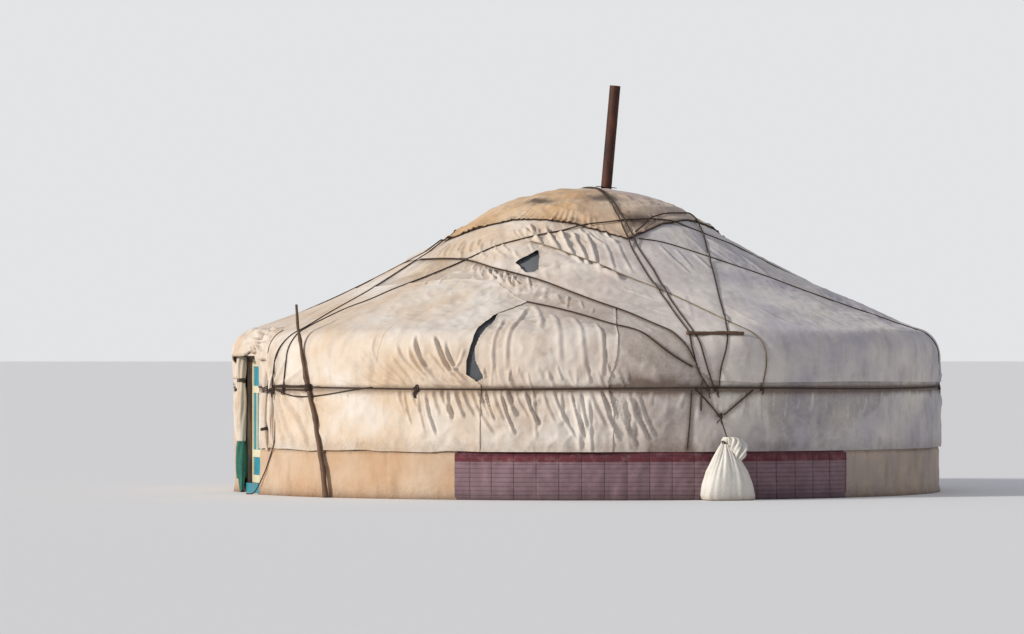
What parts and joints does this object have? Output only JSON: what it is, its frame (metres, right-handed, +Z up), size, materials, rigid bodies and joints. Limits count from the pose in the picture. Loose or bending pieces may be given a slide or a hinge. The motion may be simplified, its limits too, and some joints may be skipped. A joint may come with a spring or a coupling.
{
  "type": "yurt",
  "caption": "Round felt and canvas yurt with a lattice wall, bent roof poles, a domed crown, a hinged panelled door, skirts, ropes and a stove pipe.",
  "frame": {"origin": "on the ground under the middle of the crown", "axes": "+Z up, the door faces -Y, +X to the right of someone who looks at the yurt's back from the door side"},
  "size_m": [8.1484, 7.8792, 4.5304],
  "materials": {
    "lattice_wood": "oiled split willow, darkened by smoke",
    "pole_wood": "peeled and smoked willow poles",
    "crown_wood": "bent birch",
    "frame_paint": "cream painted wood, worn",
    "panel_paint": "teal painted wood, worn",
    "felt": "grey-brown wool felt",
    "canvas": "old cream cotton canvas, stained",
    "cover_canvas": "old cream cotton canvas",
    "skirt_canvas": "beige canvas, soiled at the foot",
    "quilt": "quilted cotton, mauve with a maroon band",
    "green_cloth": "green cotton cloth",
    "rope": "dark twisted hair rope",
    "raw_wood": "weathered crooked pole",
    "bar_wood": "peeled pole",
    "sack": "white woven sack",
    "rusty_steel": "rusted sheet steel",
    "handle_metal": "dull worn steel"
  },
  "bodies": {
    "yurt": {"lattice_wall_1": "lattice_wood", "lattice_wall_2": "lattice_wood", "lattice_wall_3": "lattice_wood", "lattice_wall_4": "lattice_wood", "lattice_wall_5": "lattice_wood", "roof_poles_1": "pole_wood", "roof_poles_2": "pole_wood", "roof_poles_3": "pole_wood", "roof_poles_4": "pole_wood", "crown_ring": "crown_wood", "crown_bars": "crown_wood", "door_frame": "frame_paint", "door_threshold": "panel_paint", "ground_strip": "felt", "felt_wall_1": "felt", "felt_wall_2": "felt", "felt_wall_3": "felt", "felt_wall_4": "felt", "felt_roof_front": "felt", "felt_roof_back": "felt", "canvas_wall_1": "canvas", "canvas_wall_2": "canvas", "canvas_wall_3": "canvas", "canvas_wall_4": "canvas", "canvas_roof_front": "canvas", "canvas_roof_back": "canvas", "crown_cover": "cover_canvas", "door_hood": "canvas", "canvas_roll": "canvas", "green_cloth": "green_cloth", "skirt_front": "skirt_canvas", "skirt_quilt": "quilt", "skirt_back": "skirt_canvas", "girth_rope": "rope", "leaning_pole": "raw_wood", "spreader_bar": "bar_wood", "roof_ropes": "rope", "loose_cord": "rope", "ground_cord": "rope", "weight_sack": "sack", "stove_pipe": "rusty_steel", "pipe_collar": "rusty_steel"},
    "door": {"door_leaf": "frame_paint", "door_panels": "panel_paint", "door_handle": "handle_metal"}
  },
  "joints": [
    {"name": "door_hinge", "type": "hinge", "parent": "yurt", "child": "door", "pos_m": [-0.325, -3.705, 0.7], "axis": [0, 0, -1], "range_deg": [0, 90]}
  ]
}
